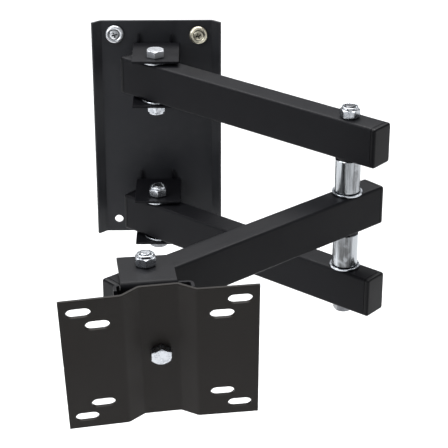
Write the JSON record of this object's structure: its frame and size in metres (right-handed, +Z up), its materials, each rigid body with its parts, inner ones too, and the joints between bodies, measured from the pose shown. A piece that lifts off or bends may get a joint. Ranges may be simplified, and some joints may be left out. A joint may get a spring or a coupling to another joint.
{
  "type": "full motion tv wall mount",
  "caption": "Black steel wall bracket with folding square-tube arms that swing, extend, swivel and tilt a slotted television plate.",
  "frame": {"origin": "middle of the wall plate's back face, on the wall", "axes": "+Z up, +Y into the wall, the front faces -Y and +X is to the right seen from the front"},
  "size_m": [0.2232, 0.3459, 0.1864],
  "materials": {
    "black_powder_coat": "satin",
    "tv_plate_powder_coat": "satin",
    "cap_plastic": "satin",
    "bright_zinc": "gloss",
    "spacer_chrome": "gloss",
    "yellow_zinc": "gloss",
    "nylon_pale": "satin",
    "nylon": "matte"
  },
  "bodies": {
    "wall_side": {"left_cup_washer": "bright_zinc", "left_wall_screw": "bright_zinc", "lower_pivot_bolt": "bright_zinc", "lower_pivot_lock_nut": "bright_zinc", "lower_pivot_lock_nut_insert": "nylon_pale", "lower_wall_bracket": "black_powder_coat", "right_cup_washer": "yellow_zinc", "right_wall_screw": "yellow_zinc", "upper_pivot_bolt": "bright_zinc", "upper_pivot_lock_nut": "bright_zinc", "upper_pivot_lock_nut_insert": "nylon_pale", "upper_wall_bracket": "black_powder_coat", "wall_plate": "black_powder_coat"},
    "long_arms": {"elbow_bolt": "bright_zinc", "elbow_lock_nut": "bright_zinc", "elbow_lock_nut_insert": "nylon_pale", "lower_arm_far_cap": "cap_plastic", "lower_arm_far_sleeve": "bright_zinc", "lower_arm_near_cap": "cap_plastic", "lower_arm_near_sleeve": "bright_zinc", "lower_arm_tube": "black_powder_coat", "lower_elbow_nylon_washer": "nylon", "lower_elbow_spacer": "spacer_chrome", "lower_elbow_washer": "bright_zinc", "lower_pivot_washer_bottom": "bright_zinc", "lower_pivot_washer_top": "bright_zinc", "upper_arm_far_cap": "cap_plastic", "upper_arm_far_sleeve": "bright_zinc", "upper_arm_near_cap": "cap_plastic", "upper_arm_near_sleeve": "bright_zinc", "upper_arm_tube": "black_powder_coat", "upper_elbow_nylon_washer": "nylon", "upper_elbow_spacer": "spacer_chrome", "upper_elbow_washer": "bright_zinc", "upper_pivot_washer_bottom": "bright_zinc", "upper_pivot_washer_top": "bright_zinc"},
    "front_arm": {"front_arm_far_cap": "cap_plastic", "front_arm_far_sleeve": "bright_zinc", "front_arm_near_cap": "cap_plastic", "front_arm_near_sleeve": "bright_zinc", "front_arm_tube": "black_powder_coat"},
    "head": {"head_yoke": "black_powder_coat", "swivel_bolt": "bright_zinc", "swivel_lock_nut": "bright_zinc", "swivel_lock_nut_insert": "nylon_pale", "swivel_spacer": "spacer_chrome", "swivel_washer_bottom": "bright_zinc", "swivel_washer_top": "bright_zinc"},
    "tilt_bolt": {"tilt_nut": "bright_zinc", "tilt_rocker_washer": "bright_zinc", "tv_plate_bolt": "bright_zinc"},
    "tv_plate": {"tv_plate": "tv_plate_powder_coat"}
  },
  "joints": [
    {"name": "wall_swing", "type": "hinge", "parent": "wall_side", "child": "long_arms", "pos_m": [0, -0.038, 0], "axis": [0, 0, 1], "range_deg": [-137, 37]},
    {"name": "elbow_fold", "type": "hinge", "parent": "long_arms", "child": "front_arm", "pos_m": [0.14106, -0.15847, 0], "axis": [0, 0, 1], "range_deg": [-58, 215]},
    {"name": "head_swivel", "type": "hinge", "parent": "front_arm", "child": "head", "pos_m": [-0.00149, -0.28151, 0], "axis": [0, 0, 1], "range_deg": [0, 52]},
    {"name": "tilt", "type": "hinge", "parent": "head", "child": "tilt_bolt", "pos_m": [0.00756, -0.30542, -0.0292], "axis": [0.9932, 0.1167, 0], "range_deg": [-18.4, 0]},
    {"name": "level", "type": "hinge", "parent": "tilt_bolt", "child": "tv_plate", "pos_m": [0.00756, -0.30542, -0.0292], "axis": [0.1107, -0.9424, -0.3156], "range_deg": [-7, 2]}
  ]
}
